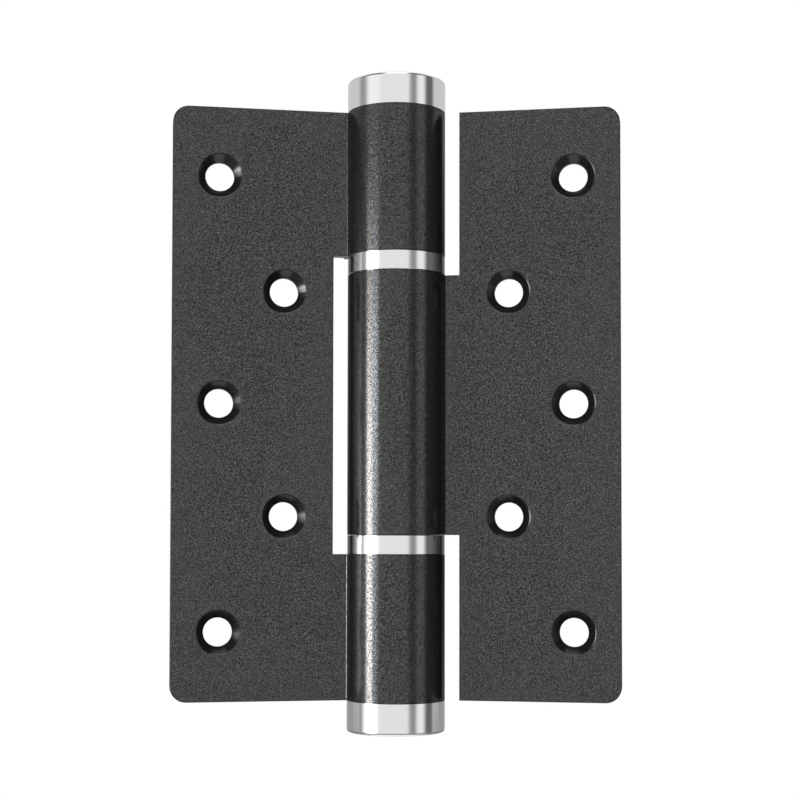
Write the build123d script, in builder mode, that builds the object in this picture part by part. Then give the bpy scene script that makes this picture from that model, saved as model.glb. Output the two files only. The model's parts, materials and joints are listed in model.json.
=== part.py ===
import os
from math import sqrt

from build123d import *

os.makedirs("parts", exist_ok=True)

# Closer hinge with a three-knuckle barrel. Lengths are in millimetres and angles in degrees.
# The origin lies on the pin axis at half height, and +Z runs up the pin.
# The frame leaf lies along -X with its countersunk face towards -Y.
# The door leaf is turned towards -Y by fold_angle, because the hinge stands part folded.

# Leaves
leaf_height = 150.0
leaf_reach = 57.0
leaf_thickness = 3.2
face_setback = 0.3
corner_radius = 4.0
edge_break = 0.15
fold_angle = 19.7
side_gap = 3.7
root_fillet = 0.6
root_pad_depth = 1.9
root_pad_width = 13.0
root_pad_radius = 0.5

# Barrel
barrel_diameter = 25.0
bore_diameter = 21.0
middle_knuckle_height = 66.3
ring_space = 4.9
keyway_width = 4.0
keyway_depth = 0.9
keyway_angle = 30.0

# Screw holes, with the columns measured from the pin axis and the pitches along it
screw_hole_diameter = 7.3
countersink_diameter = 11.1
countersink_angle = 90.0
outer_column = 45.1
outer_pitch = 57.6
inner_column = 28.65
inner_pitch = 57.1

# End caps, rings and washers
cap_height = 7.9
cap_edge_radius = 0.7
cap_roof = 3.0
spigot_length = 6.0
spigot_wall = 2.0
ring_wall = 2.2
ring_play = 0.25
washer_play = 0.1
washer_gap = 0.3

# Clearances, each one the gap on a side
bore_fit = 0.05
press_fit = 0.02
running_fit = 0.06
end_play = 0.2

# Plugs in the outer knuckles
plug_height = 14.0
plug_floor = 2.0
bush_wall = 1.5
stub_diameter = 10.0
stub_end_gap = 0.5

# Cylinder in the middle knuckle
cylinder_wall = 1.95
cylinder_floor = 7.0
gland_height = 4.3
seal_height = 2.2

# Shaft and cam
shaft_diameter = 10.0
drive_flats = 8.4
cam_wall = 2.3
cam_land = 3.0
cam_lead = 18.0
swing_range = 180.0

# Piston
pin_diameter = 4.0
rod_diameter = 9.0
rod_bore_diameter = 3.4
rod_end_land = 1.0
head_height = 8.0
groove_depth = 1.4

# Closing spring of flat wire
spring_wire_width = 2.2
spring_wire_height = 1.5
spring_turns = 4
spring_steps = 16
spring_side_gap = 0.6

# Metering needle
needle_diameter = 3.4
needle_tip_diameter = 2.8
needle_point_diameter = 2.0
needle_taper_length = 9.0
needle_reach = 2.0
needle_shoulder = 3.0
needle_head_depth = 3.0
socket_across_flats = 1.5
socket_depth = 2.0
needle_seal_height = 1.2
needle_seal_depth = 0.6
needle_seal_place = 5.0

# Radii
barrel_radius = barrel_diameter / 2
bore_radius = bore_diameter / 2
plug_radius = bore_radius - bore_fit
cylinder_bore = plug_radius - cylinder_wall
shaft_radius = shaft_diameter / 2
stub_radius = stub_diameter / 2
bush_radius = stub_radius + running_fit + bush_wall
pin_radius = pin_diameter / 2
rod_radius = rod_diameter / 2
rod_bore = rod_bore_diameter / 2
slot_radius = pin_radius + running_fit
cam_bore = rod_radius + running_fit
cam_radius = cam_bore + cam_wall
sleeve_bore = cam_radius + running_fit
lining_radius = cylinder_bore - press_fit
head_radius = cylinder_bore - running_fit
groove_radius = head_radius - groove_depth
needle_radius = needle_diameter / 2
needle_groove = needle_radius - needle_seal_depth
inner_edge = barrel_radius + side_gap
ring_bore = barrel_radius - ring_wall
washer_radius = ring_bore - washer_gap

# Heights above the origin, along the pin
half_leaf = leaf_height / 2
half_middle = middle_knuckle_height / 2
outer_start = half_middle + ring_space
plug_end = outer_start + plug_height
gland_foot = half_middle - seal_height - gland_height
cam_top = gland_foot - end_play
pin_closed = cam_top - cam_land - slot_radius
pin_open = pin_closed - cam_lead * swing_range / 360
pin_now = pin_open + cam_lead * fold_angle / 360
cam_foot = pin_open - slot_radius - cam_land
rod_above_pin = pin_radius + rod_end_land
cam_bore_top = pin_closed + rod_above_pin + end_play
head_top = pin_now - (pin_closed + end_play - cam_foot)
head_foot = head_top - head_height
floor_top = cylinder_floor - half_middle
needle_top = plug_end - needle_head_depth
needle_step = cam_bore_top + needle_shoulder
needle_point = pin_open + rod_above_pin - needle_reach
needle_seal_foot = needle_step + needle_seal_place

# Planes and directions. Each leaf runs along its own plane's x, with its back towards that plane's y.
frame_side = Plane(origin=(0, 0, 0), x_dir=(-1, 0, 0), z_dir=(0, 0, -1))
door_side = Plane.XY.rotated((0, 0, -fold_angle))
frame_key_angle = 180 - keyway_angle
door_key_angle = keyway_angle - fold_angle


def keep(piece, name):
    """Name a finished piece and write it to its own file."""
    piece.part.label = name
    export_step(piece.part, f"parts/{name}.step")


def round_outline(height, outer, inner=0.0):
    """A disc or ring about the pin, at a height."""
    with BuildSketch(Plane.XY.offset(height)) as outline:
        Circle(outer)
        if inner:
            Circle(inner, mode=Mode.SUBTRACT)
    return outline.sketch


def keyed_outline(height, key_angle):
    """A plug's disc with the key that stops it from turning in a knuckle's keyway."""
    with BuildSketch(Plane.XY.offset(height)) as outline:
        Circle(plug_radius)
        Rectangle(
            bore_radius + keyway_depth - bore_fit,
            keyway_width - 2 * bore_fit,
            rotation=key_angle,
            align=(Align.MIN, Align.CENTER),
        )
    return outline.sketch


def drive_outline(height, gap=0.0):
    """The shaft's round section with its four flats, larger all round by a gap."""
    with BuildSketch(Plane.XY.offset(height)) as outline:
        Circle(shaft_radius + gap)
        Rectangle(drive_flats + 2 * gap, drive_flats + 2 * gap, mode=Mode.INTERSECT)
    return outline.sketch


def leaf_outline(plane):
    """The section that both leaves are extruded in: plate, barrel and the pad behind the root."""
    plate_back = face_setback + leaf_thickness
    with BuildSketch(plane) as outline:
        with Locations((0, face_setback)):
            Rectangle(leaf_reach, leaf_thickness, align=(Align.MIN, Align.MIN))
            Rectangle(root_pad_width, leaf_thickness + root_pad_depth, align=(Align.MIN, Align.MIN))
        Circle(barrel_radius)
        root = outline.vertices().sort_by_distance((barrel_radius, face_setback))[0]
        fillet(root, root_fillet)
        pad_foot = outline.vertices().sort_by_distance((root_pad_width, plate_back))[0]
        fillet(pad_foot, root_pad_radius)
        pad_edge = outline.vertices().sort_by_distance((root_pad_width, plate_back + root_pad_depth))[0]
        fillet(pad_edge, root_pad_radius)
    return outline.sketch


def bore_outline(plane):
    """The bore of a knuckle with its keyway."""
    with BuildSketch(plane) as outline:
        Circle(bore_radius)
        Rectangle(
            bore_radius + keyway_depth,
            keyway_width,
            rotation=keyway_angle,
            align=(Align.MIN, Align.CENTER),
        )
    return outline.sketch


def screw_places(face):
    """The five screw holes on a leaf's countersunk face, three in the outer column and two in the inner."""
    outer = [(outer_column, row * outer_pitch) for row in (-1, 0, 1)]
    inner = [(inner_column, row * inner_pitch / 2) for row in (-1, 1)]
    return [face * Pos(x, z, 0) for x, z in outer + inner]


def is_countersink(edge):
    """Whether an edge is the wide rim of a screw hole."""
    return edge.radius > screw_hole_diameter / 2 and edge.is_closed


def leaf(plane, notches):
    """One leaf with its knuckles. A notch is a stretch of the pin that the other leaf's knuckle takes."""
    face = Plane(plane.from_local_coords((0, face_setback, 0)), x_dir=plane.x_dir, z_dir=-plane.y_dir)
    with BuildPart() as piece:
        extrude(leaf_outline(plane.offset(-half_leaf)), amount=leaf_height)
        for low, high in notches:
            with BuildSketch(plane.offset(low)) as notch:
                Rectangle(2 * inner_edge, 2 * barrel_diameter)
            extrude(notch.sketch, amount=high - low, mode=Mode.SUBTRACT)
        reach_axis = Axis(plane.origin, plane.x_dir)
        corners = piece.edges().filter_by(Axis(plane.origin, plane.y_dir)).group_by(reach_axis)[-1]
        fillet(corners, corner_radius)
        front = piece.faces().filter_by(face).sort_by(Axis(plane.origin, plane.y_dir))[0]
        roots = front.edges().filter_by(Axis.Z).group_by(reach_axis)[0]
        chamfer([edge for edge in front.edges() if edge not in roots], edge_break)
        extrude(bore_outline(plane.offset(-half_leaf)), amount=leaf_height, mode=Mode.SUBTRACT)
        with Locations(*screw_places(face)):
            CounterSinkHole(
                screw_hole_diameter / 2,
                countersink_diameter / 2,
                depth=2 * leaf_thickness,
                counter_sink_angle=countersink_angle,
            )
        sunk = piece.faces().filter_by(face).sort_by(Axis(plane.origin, plane.y_dir))[0]
        chamfer(sunk.edges().filter_by(GeomType.CIRCLE).filter_by(is_countersink), edge_break)
    return piece


def ring(foot):
    """A polished ring between two knuckles."""
    with BuildPart() as piece:
        extrude(round_outline(foot, barrel_radius, ring_bore), amount=ring_space - ring_play)
    return piece


def washer(foot, shaft):
    """A thrust washer inside a ring, clear of the shaft that passes through it."""
    with BuildPart() as piece:
        extrude(round_outline(foot, washer_radius, shaft + washer_gap), amount=ring_space - washer_play)
    return piece


# Leaves
frame_leaf = leaf(frame_side, [(-outer_start, outer_start)])
keep(frame_leaf, "frame_leaf")

door_leaf = leaf(door_side, [(-leaf_height, -half_middle), (half_middle, leaf_height)])
keep(door_leaf, "door_leaf")

# Caps, rings and washers
with BuildPart() as end_caps:
    crown = half_leaf + cap_height
    spigot_end = half_leaf - spigot_length
    spigot_bore = plug_radius - spigot_wall
    with BuildSketch(Plane.XZ) as cap_section:
        with BuildLine():
            Polyline(
                (0, crown),
                (barrel_radius, crown),
                (barrel_radius, half_leaf),
                (plug_radius, half_leaf),
                (plug_radius, spigot_end),
                (spigot_bore, spigot_end),
                (spigot_bore, crown - cap_roof),
                (0, crown - cap_roof),
                close=True,
            )
        make_face()
        fillet(cap_section.vertices().sort_by_distance((barrel_radius, crown))[0], cap_edge_radius)
    revolve(axis=Axis.Z)
    mirror(about=Plane.XY)
keep(end_caps, "end_caps")

upper_ring = ring(half_middle)
keep(upper_ring, "upper_ring")

lower_ring = ring(-outer_start)
keep(lower_ring, "lower_ring")

upper_thrust_washer = washer(half_middle, shaft_radius)
keep(upper_thrust_washer, "upper_thrust_washer")

lower_thrust_washer = washer(-outer_start, stub_radius)
keep(lower_thrust_washer, "lower_thrust_washer")

# Plugs and bush in the outer knuckles
with BuildPart() as drive_plug:
    extrude(keyed_outline(outer_start, frame_key_angle), amount=plug_height)
    extrude(drive_outline(outer_start, press_fit), amount=plug_height, mode=Mode.SUBTRACT)
keep(drive_plug, "drive_plug")

with BuildPart() as bearing_plug:
    extrude(keyed_outline(-plug_end, frame_key_angle), amount=plug_height)
    extrude(
        round_outline(plug_floor - plug_end, bush_radius + press_fit),
        amount=plug_height - plug_floor,
        mode=Mode.SUBTRACT,
    )
keep(bearing_plug, "bearing_plug")

with BuildPart() as pivot_bush:
    extrude(
        round_outline(plug_floor - plug_end, bush_radius, stub_radius + running_fit),
        amount=plug_height - plug_floor,
    )
keep(pivot_bush, "pivot_bush")

# Cylinder with its stub pin, and what closes its mouth
with BuildPart() as cylinder_body:
    extrude(keyed_outline(-half_middle, door_key_angle), amount=middle_knuckle_height)
    stub_foot = plug_floor - plug_end + stub_end_gap
    extrude(round_outline(stub_foot, stub_radius), amount=-half_middle - stub_foot)
    extrude(
        round_outline(floor_top, cylinder_bore),
        amount=middle_knuckle_height - cylinder_floor,
        mode=Mode.SUBTRACT,
    )
keep(cylinder_body, "cylinder_body")

with BuildPart() as gland:
    extrude(round_outline(gland_foot, lining_radius, shaft_radius + running_fit), amount=gland_height)
keep(gland, "gland")

with BuildPart() as shaft_seal:
    extrude(
        round_outline(half_middle - seal_height, lining_radius, shaft_radius + press_fit),
        amount=seal_height,
    )
keep(shaft_seal, "shaft_seal")

# Guide sleeve with a straight slot for each pin
with BuildPart() as guide_sleeve:
    extrude(round_outline(cam_foot, lining_radius, sleeve_bore), amount=gland_foot - cam_foot)
    across = Plane(
        origin=(0, 0, (pin_open + pin_closed) / 2),
        x_dir=(0, 0, 1),
        z_dir=door_side.x_dir,
    )
    with BuildSketch(across) as guide_slot:
        SlotCenterToCenter(pin_closed - pin_open, 2 * slot_radius)
    extrude(guide_slot.sketch, amount=cylinder_bore, both=True, mode=Mode.SUBTRACT)
keep(guide_sleeve, "guide_sleeve")


# Shaft with a helical slot for each pin, half a turn apart
with BuildPart() as slot_cutter:
    with BuildLine(Plane.XY.offset(pin_open)) as slot_path:
        Helix(cam_lead, pin_closed - pin_open, (cam_bore + cam_radius) / 2, lefthand=True)
    slot_start = Plane(slot_path.line @ 0, x_dir=(1, 0, 0), z_dir=slot_path.line % 0)
    with BuildSketch(slot_start) as slot_section:
        Rectangle(2 * cam_wall, 2 * slot_radius)
    sweep(slot_section.sketch, slot_path.line, is_frenet=True)
    for slot_end in (slot_path.line @ 0, slot_path.line @ 1):
        slot_side = Vector(slot_end.X, slot_end.Y, 0)
        with BuildSketch(Plane(Vector(0, 0, slot_end.Z), z_dir=slot_side)):
            Circle(slot_radius)
        extrude(amount=cam_radius + cam_wall)

with BuildPart() as cam_shaft:
    extrude(round_outline(cam_foot, cam_radius), amount=cam_top - cam_foot)
    extrude(round_outline(cam_top, shaft_radius), amount=outer_start - cam_top)
    extrude(drive_outline(outer_start), amount=plug_height)
    extrude(round_outline(cam_foot, cam_bore), amount=cam_bore_top - cam_foot, mode=Mode.SUBTRACT)
    with PolarLocations(0, 2):
        add(slot_cutter.part, mode=Mode.SUBTRACT)
    extrude(
        round_outline(cam_bore_top, needle_tip_diameter / 2 + running_fit),
        amount=needle_shoulder,
        mode=Mode.SUBTRACT,
    )
    extrude(
        round_outline(needle_step, needle_radius + press_fit),
        amount=plug_end - needle_step,
        mode=Mode.SUBTRACT,
    )
keep(cam_shaft, "cam_shaft")

# Metering needle and its seal, down the middle of the shaft
with BuildPart() as metering_needle:
    with BuildSketch(Plane.XZ):
        with BuildLine():
            Polyline(
                (0, needle_point),
                (needle_point_diameter / 2, needle_point),
                (needle_tip_diameter / 2, needle_point + needle_taper_length),
                (needle_tip_diameter / 2, needle_step),
                (needle_radius, needle_step),
                (needle_radius, needle_seal_foot),
                (needle_groove, needle_seal_foot),
                (needle_groove, needle_seal_foot + needle_seal_height),
                (needle_radius, needle_seal_foot + needle_seal_height),
                (needle_radius, needle_top),
                (0, needle_top),
                close=True,
            )
        make_face()
    revolve(axis=Axis.Z)
    with BuildSketch(Plane.XY.offset(needle_top)) as socket:
        RegularPolygon(socket_across_flats / 2, 6, major_radius=False)
    extrude(socket.sketch, amount=-socket_depth, mode=Mode.SUBTRACT)
keep(metering_needle, "metering_needle")

with BuildPart() as needle_seal:
    extrude(
        round_outline(needle_seal_foot, needle_radius, needle_groove + press_fit),
        amount=needle_seal_height,
    )
keep(needle_seal, "needle_seal")

# Piston with its pins and its lip seal
pin_plane = Plane(origin=(0, 0, pin_now), z_dir=door_side.x_dir)
groove_foot = head_foot + (head_height - seal_height) / 2

with BuildPart() as piston:
    extrude(round_outline(head_foot, head_radius), amount=head_height)
    extrude(round_outline(head_top, rod_radius), amount=pin_now + rod_above_pin - head_top)
    extrude(
        round_outline(groove_foot, cylinder_bore, groove_radius),
        amount=seal_height,
        mode=Mode.SUBTRACT,
    )
    extrude(
        round_outline(head_foot, rod_bore),
        amount=pin_now + rod_above_pin - head_foot,
        mode=Mode.SUBTRACT,
    )
    with BuildSketch(pin_plane) as pin_hole:
        Circle(pin_radius + press_fit)
    extrude(pin_hole.sketch, amount=rod_diameter, both=True, mode=Mode.SUBTRACT)
keep(piston, "piston")

with BuildPart() as follower_pins:
    pin_start = rod_bore + press_fit
    pin_end = sqrt((cylinder_bore - end_play) ** 2 - pin_radius**2)
    for turn in (1, -1):
        with BuildSketch(pin_plane.offset(turn * pin_start)) as pin_outline:
            Circle(pin_radius)
        extrude(pin_outline.sketch, amount=turn * (pin_end - pin_start))
keep(follower_pins, "follower_pins")

with BuildPart() as piston_seal:
    extrude(
        round_outline(groove_foot, cylinder_bore - press_fit, groove_radius + press_fit),
        amount=seal_height,
    )
keep(piston_seal, "piston_seal")

# Closing spring, coiled from flat wire, with both ends ground flat
with BuildPart() as closing_spring:
    coil_radius = cylinder_bore - spring_side_gap - spring_wire_width / 2
    spring_length = head_foot - floor_top
    coil_foot = floor_top - spring_wire_height / 2
    step_count = spring_turns * spring_steps
    for step in range(step_count + 1):
        outward = Vector(1, 0, 0).rotate(Axis.Z, 360 * step / spring_steps)
        raised = Vector(0, 0, coil_foot + (spring_length + spring_wire_height) * step / step_count)
        with BuildSketch(Plane(raised, x_dir=outward, z_dir=outward.cross(Vector(0, 0, 1)))):
            with Locations((coil_radius, 0)):
                Rectangle(spring_wire_width, spring_wire_height)
    loft(ruled=True)
    extrude(round_outline(floor_top, cylinder_bore), amount=spring_length, mode=Mode.INTERSECT)
keep(closing_spring, "closing_spring")
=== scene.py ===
import json
from math import cos, pi, radians, sin, tan

import bpy
import numpy as np
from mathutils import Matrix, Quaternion, Vector


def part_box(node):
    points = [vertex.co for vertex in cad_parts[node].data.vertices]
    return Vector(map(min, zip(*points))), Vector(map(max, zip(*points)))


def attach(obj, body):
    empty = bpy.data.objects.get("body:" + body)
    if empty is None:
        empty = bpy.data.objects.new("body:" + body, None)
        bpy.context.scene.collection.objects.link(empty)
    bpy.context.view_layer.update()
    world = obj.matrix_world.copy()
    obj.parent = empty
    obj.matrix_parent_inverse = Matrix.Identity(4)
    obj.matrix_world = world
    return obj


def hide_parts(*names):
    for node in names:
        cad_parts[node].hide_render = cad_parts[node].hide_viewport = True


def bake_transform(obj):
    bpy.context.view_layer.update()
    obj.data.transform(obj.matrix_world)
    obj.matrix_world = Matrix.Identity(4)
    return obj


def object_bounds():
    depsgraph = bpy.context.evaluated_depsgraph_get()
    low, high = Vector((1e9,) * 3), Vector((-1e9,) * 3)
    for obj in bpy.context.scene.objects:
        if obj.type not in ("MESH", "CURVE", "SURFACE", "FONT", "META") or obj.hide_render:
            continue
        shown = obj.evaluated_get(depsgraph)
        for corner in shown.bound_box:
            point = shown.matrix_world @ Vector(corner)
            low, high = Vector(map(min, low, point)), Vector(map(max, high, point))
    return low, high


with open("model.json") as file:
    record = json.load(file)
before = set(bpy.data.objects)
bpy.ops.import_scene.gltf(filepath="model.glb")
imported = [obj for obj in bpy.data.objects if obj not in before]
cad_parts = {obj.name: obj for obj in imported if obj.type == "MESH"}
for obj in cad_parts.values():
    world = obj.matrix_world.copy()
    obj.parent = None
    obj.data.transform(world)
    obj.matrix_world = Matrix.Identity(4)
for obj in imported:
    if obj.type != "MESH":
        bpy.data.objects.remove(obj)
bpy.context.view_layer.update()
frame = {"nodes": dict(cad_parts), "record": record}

# Closer hinge with a three-knuckle barrel. Lengths are in metres, angles in degrees.
# The pin axis is the frame's Z axis, and the countersunk faces look towards -Y.
MM = 0.001
IN_DEGREES = 180 / pi
nodes = frame["nodes"]

# Camera, as it stood for the photograph, with its focal length and upward shift in the picture's pixels
PICTURE_SIZE = 800
FOCAL_PIXELS = 1660.5
SENSOR_WIDTH = 36.0
CAMERA_PLACE = Vector((-72.4, -417.6, -34.1)) * MM
CAMERA_HEADING = -9.97
CAMERA_PITCH = 2.10
CAMERA_ROLL = 0.088
CAMERA_SHIFT = 77.8
CAMERA_CLIP = (0.01, 20.0)

# Floor under the hinge: its drop below the lowest point, its grey, and its glow for the camera. Mirrored
# rays see the glow too, out to an edge that lies so many millimetres from the pin.
FLOOR_DROP = 150 * MM
FLOOR_RADIUS = 800 * MM
FLOOR_STEPS = 96
FLOOR_SHADE = (0.3, 0.3, 0.3, 1.0)
FLOOR_LIFT = 0.78
FLOOR_GLOW_EDGE = (90.0, 150.0)
WHITE = (1.0, 1.0, 1.0, 1.0)

# Studio walls. Each panel has a heading to the right of the camera's line of sight, half its width, its
# lowest and highest elevation, and its brightness. A later panel hides an earlier one.
WALL_LEVEL = 0.62
WALL_SOFTNESS = 14.0
WALL_FOOT = -90
WALL_HEAD = 90
WALL_PANELS = (
    ("front screen", -4, 36, WALL_FOOT, WALL_HEAD, 0.83),
    ("left screen", -55, 17, WALL_FOOT, WALL_HEAD, 0.92),
    ("left gap", -87, 10, WALL_FOOT, WALL_HEAD, 0.32),
    ("low left screen", -75, 8, WALL_FOOT, 3, 0.95),
    ("inner right gap", 41, 9, WALL_FOOT, WALL_HEAD, 0.28),
    ("right strip", 60, 10, WALL_FOOT, WALL_HEAD, 0.87),
    ("right gap", 84, 12, WALL_FOOT, WALL_HEAD, 0.13),
    ("left skirting", -130, 32, WALL_FOOT, -5, 0.34),
    ("right skirting", 130, 32, WALL_FOOT, -5, 0.34),
    ("left back gap", -138, 20, -5, 12, 0.10),
    ("right back gap", 138, 20, -5, 12, 0.10),
    ("ceiling", 0, 200, 40, WALL_HEAD, 1.0),
    ("left cove", -66, 32, 22, 66, 0.10),
    ("right cove", 66, 32, 22, 66, 0.10),
    ("overhead screen", 0, 30, 38, 62, 2.0),
)
ELEVATION_SOFTNESS = 5.0

# Soft boxes: name, heading, lowest and highest elevation, width, brightness and tint
WARM = (1.0, 0.97, 0.93)
COOL = (0.80, 0.90, 1.0)
BOX_DISTANCE = 1.0
SOFT_BOXES = (
    ("key_box_low", -64.5, -12.0, 3.0, 15.0, 13.5, WARM),
    ("key_box_middle", -64.5, 3.0, 7.0, 15.0, 10.0, WARM),
    ("key_box_high", -64.5, 7.0, 10.5, 15.0, 5.0, WARM),
    ("key_box_top", -64.5, 10.5, 14.0, 15.0, 2.0, WARM),
    ("cool_box_low", -50.5, -12.0, 0.0, 11.0, 2.5, COOL),
    ("cool_box_middle", -50.0, 0.0, 9.0, 12.0, 6.0, COOL),
    ("cool_box_top", -49.5, 9.0, 14.0, 12.0, 2.5, COOL),
)

# Powder coat: grains and lumps to the millimetre, the share of grains that stay dark, both shades, and
# the tint of glancing light
COAT_GRAINS = 9.0
COAT_LUMPS = 6.0
DARK_GRAINS = 0.5
COAT_DARK = (0.037, 0.037, 0.037)
COAT_LIGHT = (0.192, 0.192, 0.192)
COAT_TINT = (0.6, 0.6, 0.6, 1.0)

# Bare rims of the leaves: their screw seats and edges get one smooth dark colour without grain, partly a
# bare finish and partly painted shade that darkens their reflections. The door leaf is turned from the
# frame leaf by LEAF_FOLD, both leaves' flats begin LEAF_START millimetres from the pin, and a face is a
# rim where the cosine of its turn from both flats falls below RIM_COSINE.
LEAF_FOLD = -19.7
LEAF_START = (13.5, 14.5)
RIM_COSINE = (0.95, 0.98)
RIM_BARE_AND_PAINTED_SHADE = (0.058, 0.058, 0.058)

# Chrome: both shades of its haze
CHROME_DARK = (0.88, 0.885, 0.89)
CHROME_LIGHT = (0.92, 0.925, 0.93)

# Other finishes: slot, darkest and lightest colour, roughness, and relief in millimetres
METALS = (
    ("ground_steel", (0.42, 0.42, 0.43), (0.60, 0.60, 0.61), 0.22, 0.01),
    ("spring_steel", (0.14, 0.14, 0.16), (0.28, 0.28, 0.30), 0.30, 0.02),
    ("turned_brass", (0.62, 0.42, 0.16), (0.78, 0.58, 0.27), 0.25, 0.01),
)
MOULDINGS = (
    ("bearing_plastic", (0.66, 0.65, 0.61), (0.76, 0.75, 0.71), 0.40, 0.01),
    ("seal_rubber", (0.020, 0.020, 0.020), (0.045, 0.045, 0.045), 0.55, 0.02),
)

# Closing spring: the section of its flat wire, what is left of that height at the ground ends, its turns,
# and the steps in each
WIRE_WIDTH = 2.2 * MM
WIRE_HEIGHT = 1.5 * MM
WIRE_TIP = 0.1 * MM
SPRING_TURNS = 4
STEPS_PER_TURN = 48

# Rings between the knuckles: the body of each, then their wall, their edge bevel, how far they rise into
# the running gap above them, and the angle past which an edge is drawn sharp
RING_BODIES = {"upper_ring": "door", "lower_ring": "frame"}
RING_WALL = 2.2 * MM
RING_BEVEL = 0.15 * MM
RING_RISE = 0.2 * MM
RING_STEPS = 192
RING_CREASE = 30

# How patterns lie. SKEW turns one off the object's flat faces, because noise fades out on its own lattice
# planes, and UPRIGHT leaves it square to the pin. EVEN gives it the same grain all ways, ROUND_CHROME and
# ROUND_PIN draw it out round the pin, and FLATTENED drops its height.
SKEW = (0.5, 0.6, 0.7)
UPRIGHT = (0.0, 0.0, 0.0)
EVEN = (1.0, 1.0, 1.0)
ROUND_CHROME = (0.15, 0.15, 1.0)
ROUND_PIN = (0.08, 0.08, 1.0)
FLATTENED = (1.0, 1.0, 0.0)

# Sockets of a Mix node that mixes colours
MIX_FACTOR = 0
MIX_COLOURS = (6, 7)
MIX_RESULT = 2


class Wire:
    """An output socket of a shader node. Arithmetic on it adds Math nodes to the same tree."""

    def __init__(self, socket):
        self.socket = socket

    @staticmethod
    def add(tree, kind, settings=None, inputs=None, output=0):
        """Adds a node, sets it up, feeds its sockets with numbers or wires, and returns one output."""
        node = tree.nodes.new(kind)
        for name, value in (settings or {}).items():
            setattr(node, name, value)
        for name, value in (inputs or {}).items():
            feed(tree, node, name, value)
        return Wire(node.outputs[output]) if node.outputs else None

    def beside(self, name):
        """Another output of the same node."""
        return Wire(self.socket.node.outputs[name])

    def math(self, operation, *others):
        """A Math node with this wire first and the others after it."""
        inputs = dict(enumerate((self, *others)))
        return Wire.add(self.socket.id_data, "ShaderNodeMath", {"operation": operation}, inputs)

    def __add__(self, other):
        return self.math("ADD", other)

    __radd__ = __add__

    def __mul__(self, other):
        return self.math("MULTIPLY", other)

    __rmul__ = __mul__

    def __sub__(self, other):
        return self.math("SUBTRACT", other)

    def __rsub__(self, other):
        return (self * -1.0) + other

    def step(self, low, high):
        """0 below low, 1 above high, and a smooth rise between."""
        inputs = {"Value": self, "From Min": low, "From Max": high}
        settings = {"interpolation_type": "SMOOTHSTEP"}
        return Wire.add(self.socket.id_data, "ShaderNodeMapRange", settings, inputs)


def feed(tree, node, name, value):
    """Puts a number or a wire into one of a node's sockets."""
    if isinstance(value, Wire):
        tree.links.new(value.socket, node.inputs[name])
    else:
        node.inputs[name].default_value = value


def material(name):
    """A new material with its tree and its Principled shader."""
    made = bpy.data.materials.new(name)
    made.use_nodes = True
    tree = made.node_tree
    return made, tree, tree.nodes["Principled BSDF"]


def place_in_object(tree, stretch=EVEN, tilt=SKEW):
    """Object coordinates in millimetres, stretched along each axis, then turned off the flat faces."""
    spot = Wire.add(tree, "ShaderNodeTexCoord", output="Object")
    scale = tuple(s / MM for s in stretch)
    return Wire.add(tree, "ShaderNodeMapping", None, {"Vector": spot, "Scale": scale, "Rotation": tilt})


def distance_from_pin(tree):
    """How far a point lies from the pin axis, in millimetres."""
    spot = place_in_object(tree, FLATTENED, UPRIGHT)
    return Wire.add(tree, "ShaderNodeVectorMath", {"operation": "LENGTH"}, {0: spot}, "Value")


def cells(tree, spot, scale):
    """Grains with a random number from 0 to 1 each, scale of them to the millimetre."""
    picked = Wire.add(tree, "ShaderNodeTexVoronoi", None, {"Vector": spot, "Scale": scale}, "Color")
    return Wire.add(tree, "ShaderNodeSeparateColor", None, {"Color": picked})


def noise(tree, spot, scale, detail=2.0, rough=0.5):
    """Noise from 0 to 1, with scale features to the millimetre."""
    inputs = {"Vector": spot, "Scale": scale, "Detail": detail, "Roughness": rough}
    return Wire.add(tree, "ShaderNodeTexNoise", None, inputs, "Fac")


def blend(tree, factor, *colours):
    """A colour between two, by a factor. Each of the two is three numbers or a wire."""
    inputs = {MIX_FACTOR: factor}
    for name, colour in zip(MIX_COLOURS, colours):
        inputs[name] = colour if isinstance(colour, Wire) else (*colour, 1.0)
    return Wire.add(tree, "ShaderNodeMix", {"data_type": "RGBA"}, inputs, MIX_RESULT)


def bump(tree, height, strength, depth):
    """A normal from a height of 0 to 1 that stands for depth millimetres."""
    inputs = {"Height": height, "Strength": strength, "Distance": depth * MM}
    return Wire.add(tree, "ShaderNodeBump", None, inputs)


def bare_and_shaded_rims(tree):
    """Where the rims' painted shade and bare finish go: 1 on the leaves' screw seats and edges, 0 on their
    flat faces and on the barrel.
    """
    facing = Wire.add(tree, "ShaderNodeTexCoord", output="Normal")
    flat = None
    for turn in (0.0, LEAF_FOLD):
        inputs = {0: facing, 1: (sin(radians(turn)), -cos(radians(turn)), 0.0)}
        along = Wire.add(tree, "ShaderNodeVectorMath", {"operation": "DOT_PRODUCT"}, inputs, "Value")
        along = along.math("ABSOLUTE")
        flat = along if flat is None else flat.math("MAXIMUM", along)
    return distance_from_pin(tree).step(*LEAF_START) * (1 - flat.step(*RIM_COSINE))


def powder_coat():
    """Charcoal coat with light metal dust in it, and smooth dark rims on the leaves, partly a bare finish
    and partly painted shade.
    """
    made, tree, shader = material("powder_coat")
    spot = place_in_object(tree)
    dust = cells(tree, spot, COAT_GRAINS).step(DARK_GRAINS, 1.0)
    lumps = noise(tree, spot, COAT_LUMPS, rough=0.6)
    coat = blend(tree, dust, COAT_DARK, COAT_LIGHT)
    # Rims take one dark colour without grain: partly a bare finish, partly painted shade.
    feed(tree, shader, "Base Color", blend(tree, bare_and_shaded_rims(tree), coat, RIM_BARE_AND_PAINTED_SHADE))
    feed(tree, shader, "Metallic", 0.86)
    feed(tree, shader, "Specular Tint", COAT_TINT)
    feed(tree, shader, "Roughness", 0.14 + lumps * 0.08)
    feed(tree, shader, "Normal", bump(tree, lumps, strength=0.12, depth=0.009))
    return made


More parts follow.
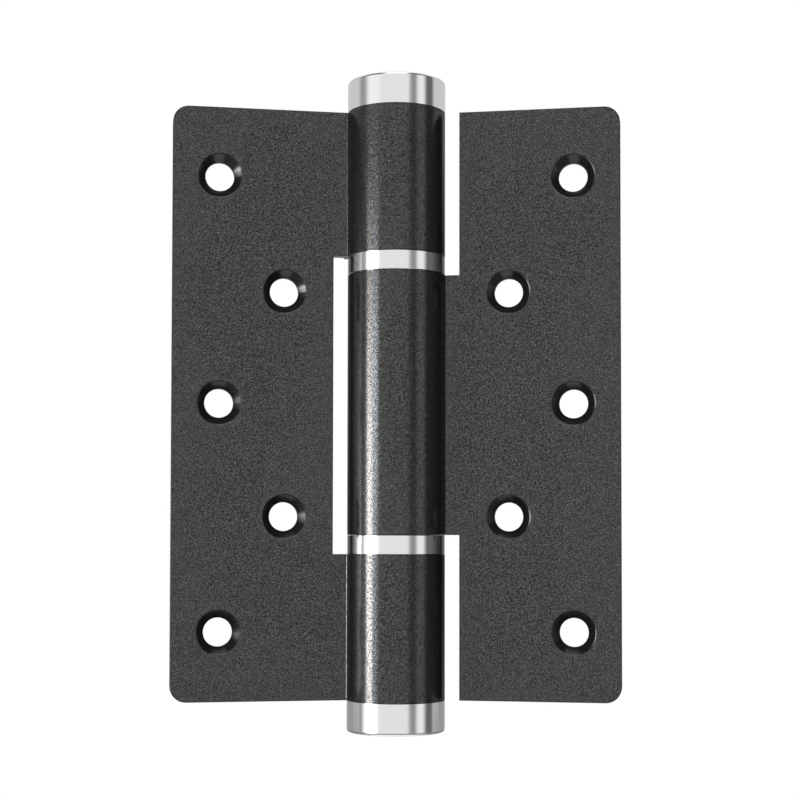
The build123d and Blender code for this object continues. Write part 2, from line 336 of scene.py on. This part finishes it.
def polished_chrome():
    """Mirror chrome over a turned face: hardly visible rings of polish round the pin axis."""
    made, tree, shader = material("polished_chrome")
    spot = place_in_object(tree, ROUND_CHROME, UPRIGHT)
    haze = noise(tree, spot, scale=6.0, detail=3.0)
    feed(tree, shader, "Base Color", blend(tree, haze, CHROME_DARK, CHROME_LIGHT))
    feed(tree, shader, "Metallic", 1.0)
    feed(tree, shader, "Roughness", 0.09 + haze * 0.04)
    feed(tree, shader, "Normal", bump(tree, haze, strength=0.05, depth=0.002))
    return made


def worked_metal(name, dark, light, roughness, relief):
    """Bare metal with tool marks: streaks round the pin, and a slow stain under them."""
    made, tree, shader = material(name)
    marks = noise(tree, place_in_object(tree, ROUND_PIN, UPRIGHT), scale=4.0, detail=4.0, rough=0.6)
    stain = noise(tree, place_in_object(tree), scale=0.25, detail=3.0)
    feed(tree, shader, "Base Color", blend(tree, marks * 0.6 + stain * 0.4, dark, light))
    feed(tree, shader, "Metallic", 1.0)
    feed(tree, shader, "Roughness", roughness + marks * 0.15)
    feed(tree, shader, "Normal", bump(tree, marks, strength=0.3, depth=relief))
    return made


def moulded(name, dark, light, roughness, relief):
    """Plastic or rubber: a dull skin with a faint cloudy grain."""
    made, tree, shader = material(name)
    spot = place_in_object(tree)
    skin = noise(tree, spot, scale=5.0, detail=3.0)
    cloud = noise(tree, spot, scale=0.4)
    feed(tree, shader, "Base Color", blend(tree, skin * 0.5 + cloud * 0.5, dark, light))
    feed(tree, shader, "Roughness", roughness + skin * 0.15)
    feed(tree, shader, "Normal", bump(tree, skin, strength=0.3, depth=relief))
    return made


def finishes():
    """Every material slot of the record with its finish."""
    made = {"powder_coat": powder_coat(), "polished_chrome": polished_chrome()}
    for row in METALS:
        made[row[0]] = worked_metal(*row)
    for row in MOULDINGS:
        made[row[0]] = moulded(*row)
    return made


def dress_nodes(made):
    """Gives each solid of the model the finish of its own slot."""
    slot_of = {row["node"]: row["material_slot"] for row in frame["record"]["subparts"]}
    for name, piece in nodes.items():
        piece.data.materials.clear()
        piece.data.materials.append(made[slot_of[name]])


def add_piece(name, points, faces, finish):
    """A mesh object of its own, at the origin, from a grid of points and its faces."""
    mesh = bpy.data.meshes.new(name)
    mesh.from_pydata(points.reshape(-1, 3).tolist(), [], faces)
    mesh.materials.append(finish)
    piece = bpy.data.objects.new(name, mesh)
    bpy.context.scene.collection.objects.link(piece)
    return piece


def add_closing_spring(finish):
    """The closing spring, which in the hinge shortens and lengthens between the cylinder's floor and the
    piston; here it is drawn at one length.

    A rectangle of wire is carried along a helix, (r cos t, r sin t, rise of t), and its height is clipped
    to the spring's length, so that both ends lie flat.
    """
    low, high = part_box("closing_spring")
    turn = np.linspace(0, 2 * np.pi * SPRING_TURNS, SPRING_TURNS * STEPS_PER_TURN + 1)[:, None]
    overrun = WIRE_HEIGHT / 2 - WIRE_TIP
    rise = np.linspace(low.z - overrun, high.z + overrun, turn.size)[:, None]
    radius = high.x - WIRE_WIDTH * np.array([1, 0, 0, 1])
    height = np.clip(rise + WIRE_HEIGHT / 2 * np.array([-1, -1, 1, 1]), low.z, high.z)
    points = np.stack([np.cos(turn) * radius, np.sin(turn) * radius, height], axis=2)
    here = np.arange(height.size).reshape(height.shape)
    beside = np.roll(here, -1, axis=1)
    walls = np.stack([here[:-1], here[1:], beside[1:], beside[:-1]], axis=2).reshape(-1, 4)
    faces = np.concatenate([walls, here[:1], here[-1:, ::-1]])
    coil = add_piece("spring_coil", points, faces.tolist(), finish)
    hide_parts("closing_spring")
    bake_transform(coil)


def add_ring(node, body, finish):
    """A polished ring with bevelled edges, which part it from both knuckles by a dark line.

    A section of six corners is carried round the pin, (r cos t, r sin t, z), and joined up face by face.
    """
    low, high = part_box(node)
    outside, foot, head = high.x, low.z, high.z + RING_RISE
    inside, edge = outside - RING_WALL, outside - RING_BEVEL
    radius = np.array([inside, edge, outside, outside, edge, inside])
    height = np.array([foot, foot, foot + RING_BEVEL, head - RING_BEVEL, head, head])
    turn = np.linspace(0, 2 * np.pi, RING_STEPS, endpoint=False)[:, None]
    section = np.broadcast_arrays(np.cos(turn) * radius, np.sin(turn) * radius, height)
    points = np.stack(section, axis=2)
    here = np.arange(RING_STEPS * radius.size).reshape(RING_STEPS, radius.size)
    beside = np.roll(here, -1, axis=0)
    corners = [here, beside, np.roll(beside, -1, axis=1), np.roll(here, -1, axis=1)]
    faces = np.stack(corners, axis=2).reshape(-1, 4)
    ring = add_piece("bevelled_" + node, points, faces.tolist(), finish)
    ring.data.shade_smooth()
    ring.data.set_sharp_from_angle(angle=radians(RING_CREASE))
    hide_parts(node)
    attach(ring, body)


def heading_vector(heading, elevation=0.0):
    """The direction at an angle to the right of the camera's line of sight, seen from the hinge."""
    turn = radians(heading + CAMERA_HEADING)
    lift = radians(elevation)
    return Vector((sin(turn) * cos(lift), -cos(turn) * cos(lift), sin(lift)))


def add_camera():
    """The camera at the photograph's place, line of sight and roll."""
    lens = bpy.data.cameras.new("camera")
    lens.sensor_width = SENSOR_WIDTH
    lens.lens = FOCAL_PIXELS * SENSOR_WIDTH / PICTURE_SIZE
    lens.shift_y = CAMERA_SHIFT / PICTURE_SIZE
    lens.clip_start, lens.clip_end = CAMERA_CLIP
    camera = bpy.data.objects.new("camera", lens)
    sight = -heading_vector(0.0, -CAMERA_PITCH)
    turn = sight.to_track_quat("-Z", "Y")
    camera.rotation_mode = "QUATERNION"
    camera.rotation_quaternion = turn @ Quaternion((0, 0, 1), radians(CAMERA_ROLL))
    camera.location = CAMERA_PLACE
    bpy.context.scene.collection.objects.link(camera)
    bpy.context.scene.camera = camera


def add_soft_box(name, heading, low, high, width, level, tint):
    """A rectangular lamp that looks at the hinge, spans the given angles, and looks as bright as level."""
    lamp = bpy.data.lights.new(name, "AREA")
    lamp.shape = "RECTANGLE"
    lamp.size = 2 * BOX_DISTANCE * tan(radians(width / 2))
    lamp.size_y = 2 * BOX_DISTANCE * tan(radians((high - low) / 2))
    lamp.energy = level * pi * lamp.size * lamp.size_y
    lamp.color = tint
    box = bpy.data.objects.new(name, lamp)
    way = heading_vector(heading, (low + high) / 2)
    box.location = way * BOX_DISTANCE
    box.rotation_mode = "QUATERNION"
    box.rotation_quaternion = (-way).to_track_quat("-Z", "Y")
    bpy.context.scene.collection.objects.link(box)
    box.visible_camera = False


def add_studio():
    """Walls of soft light round the hinge, and plain white where the camera looks past it."""
    world = bpy.data.worlds.new("studio")
    bpy.context.scene.world = world
    world.use_nodes = True
    tree = world.node_tree
    tree.nodes.clear()
    way = Wire.add(tree, "ShaderNodeTexCoord", output="Generated")
    line = Wire.add(tree, "ShaderNodeVectorRotate", {"rotation_type": "Z_AXIS"},
                    {"Vector": way, "Angle": -radians(CAMERA_HEADING)})
    across = Wire.add(tree, "ShaderNodeSeparateXYZ", None, {"Vector": line})
    heading = across.math("ARCTAN2", across.beside("Y") * -1.0) * IN_DEGREES
    height = across.beside("Z").math("ARCSINE") * IN_DEGREES
    aside_slope = WALL_SOFTNESS / 2
    height_slope = ELEVATION_SOFTNESS / 2
    level = WALL_LEVEL
    for _, centre, reach, foot, head, shade in WALL_PANELS:
        aside = (heading - centre).math("ABSOLUTE")
        mask = 1 - aside.step(reach - aside_slope, reach + aside_slope)
        if foot > WALL_FOOT:
            mask = mask * height.step(foot - height_slope, foot + height_slope)
        if head < WALL_HEAD:
            mask = mask * (1 - height.step(head - height_slope, head + height_slope))
        level = level * (1 - mask) + mask * shade
    rays = Wire.add(tree, "ShaderNodeLightPath", output="Is Camera Ray")
    strength = level * (1 - rays) + rays
    glow = Wire.add(tree, "ShaderNodeBackground", None, {"Color": WHITE, "Strength": strength})
    Wire.add(tree, "ShaderNodeOutputWorld", None, {"Surface": glow})


def pale_floor():
    """Dull grey that takes the hinge's shadow, and a glow that lifts it to white for the camera."""
    made = bpy.data.materials.new("pale_floor")
    made.use_nodes = True
    tree = made.node_tree
    tree.nodes.clear()
    rays = Wire.add(tree, "ShaderNodeLightPath", output="Is Camera Ray")
    near = 1 - distance_from_pin(tree).step(*FLOOR_GLOW_EDGE)
    seen = rays + rays.beside("Is Glossy Ray") * near
    dull = Wire.add(tree, "ShaderNodeBsdfDiffuse", None, {"Color": FLOOR_SHADE})
    glow = Wire.add(tree, "ShaderNodeEmission", None, {"Color": WHITE, "Strength": seen * FLOOR_LIFT})
    both = Wire.add(tree, "ShaderNodeAddShader", None, {0: dull, 1: glow})
    Wire.add(tree, "ShaderNodeOutputMaterial", None, {"Surface": both})
    return made


def add_floor():
    """A round floor under the hinge: points on a circle, (r cos t, r sin t), at one height."""
    turn = np.linspace(0, 2 * np.pi, FLOOR_STEPS, endpoint=False)
    height = np.full(FLOOR_STEPS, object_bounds()[0][2] - FLOOR_DROP)
    points = np.stack([FLOOR_RADIUS * np.cos(turn), FLOOR_RADIUS * np.sin(turn), height], axis=1)
    add_piece("floor", points, [list(range(FLOOR_STEPS))], pale_floor())


made_finishes = finishes()
dress_nodes(made_finishes)
add_closing_spring(made_finishes["spring_steel"])
for ring_node, ring_body in RING_BODIES.items():
    add_ring(ring_node, ring_body, made_finishes["polished_chrome"])
add_camera()
add_studio()
for soft_box in SOFT_BOXES:
    add_soft_box(*soft_box)
add_floor()
bpy.context.scene.view_settings.view_transform = "Standard"
